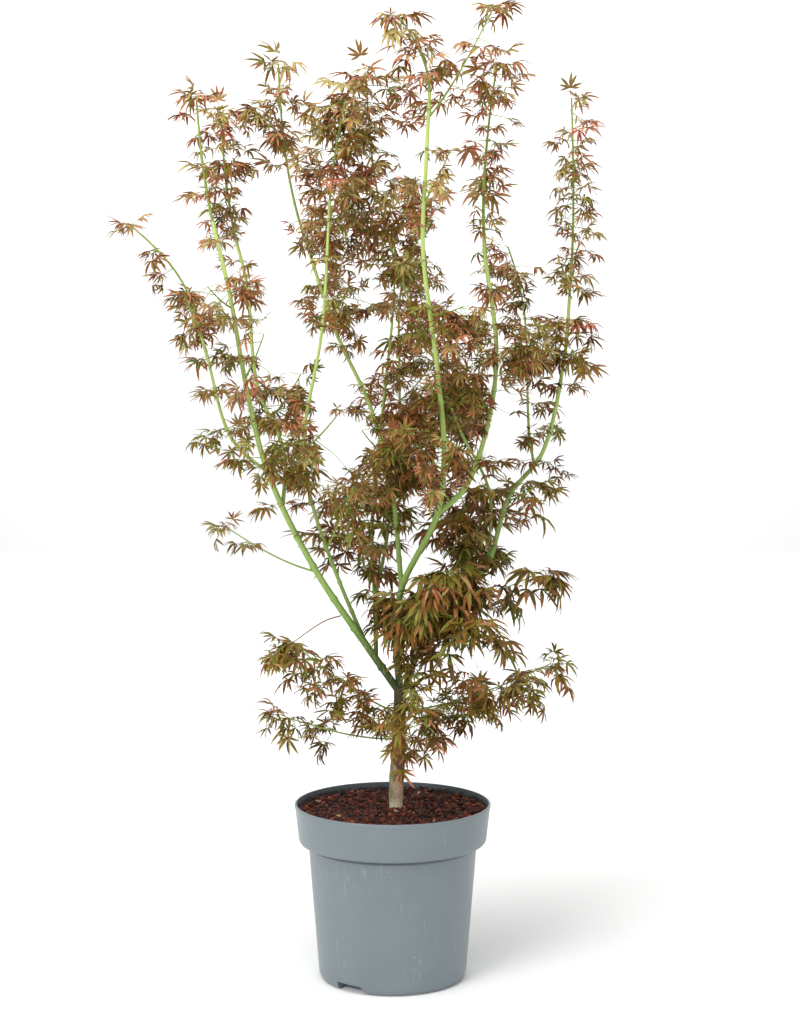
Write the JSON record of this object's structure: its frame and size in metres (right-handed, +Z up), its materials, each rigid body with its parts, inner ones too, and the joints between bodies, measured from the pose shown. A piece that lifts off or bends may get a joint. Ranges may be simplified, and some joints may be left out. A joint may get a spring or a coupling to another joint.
{
  "type": "potted japanese maple",
  "caption": "Young grafted Japanese maple with slender upright green canes and fine lobed leaves in bronze and olive, standing in a round plastic nursery pot.",
  "frame": {"origin": "middle of the pot's flat underside", "axes": "+Z up along the tree; +X towards the tall outer cane on the right of the front view; the front is -Y"},
  "size_m": [0.7458, 0.5373, 1.451],
  "materials": {
    "pot_plastic": "satin blue-grey moulded polypropylene, lightly scuffed",
    "potting_mix": "moist red-brown bark chips",
    "bark": "rough beige bark at the foot, greenish brown above",
    "green_wood": "smooth satin green young wood with pale node rings",
    "foliage": "thin matt leaves in bronze, olive and red-brown"
  },
  "bodies": {
    "root": {"pot": "pot_plastic", "potting_mix": "potting_mix", "trunk": "bark", "left_bough": "green_wood", "right_bough": "green_wood", "low_right_bough": "green_wood", "left_outer_cane": "green_wood", "left_inner_cane": "green_wood", "left_centre_cane": "green_wood", "back_left_cane": "green_wood", "back_right_cane": "green_wood", "centre_cane": "green_wood", "right_cane": "green_wood", "crossing_cane": "green_wood", "right_inner_cane": "green_wood", "foliage_foot_right": "foliage", "foliage_foot_left": "foliage", "foliage_foot_left_low": "foliage", "foliage_foot_front": "foliage", "foliage_left_tall_top": "foliage", "foliage_left_tall_tier": "foliage", "foliage_left_fork_front": "foliage", "foliage_left_bough_front": "foliage", "foliage_left_long_twig": "foliage", "foliage_left_outer_top": "foliage", "foliage_left_outer_side": "foliage", "foliage_left_inner_top": "foliage", "foliage_left_inner_low": "foliage", "foliage_left_centre_top": "foliage", "foliage_left_centre_mid": "foliage", "foliage_left_centre_low": "foliage", "foliage_back_left_top": "foliage", "foliage_back_left_low": "foliage", "foliage_back_right_top": "foliage", "foliage_back_right_mid": "foliage", "foliage_front_top_left": "foliage", "foliage_front_top_right": "foliage", "foliage_front_upper": "foliage", "foliage_front_mid": "foliage", "foliage_front_low": "foliage", "foliage_low_front": "foliage", "foliage_centre_top": "foliage", "foliage_centre_upper": "foliage", "foliage_centre_mid": "foliage", "foliage_centre_deep": "foliage", "foliage_centre_foot": "foliage", "foliage_right_top": "foliage", "foliage_right_mid": "foliage", "foliage_right_low": "foliage", "foliage_right_outer_top": "foliage", "foliage_right_outer_mid": "foliage", "foliage_right_fork": "foliage", "foliage_right_bough_back": "foliage", "foliage_low_right_outer": "foliage", "foliage_low_right_front": "foliage", "foliage_crossing_top": "foliage", "foliage_crossing_side": "foliage", "foliage_crossing_mid": "foliage", "foliage_crossing_low": "foliage", "foliage_right_inner_top": "foliage"}
  },
  "joints": []
}
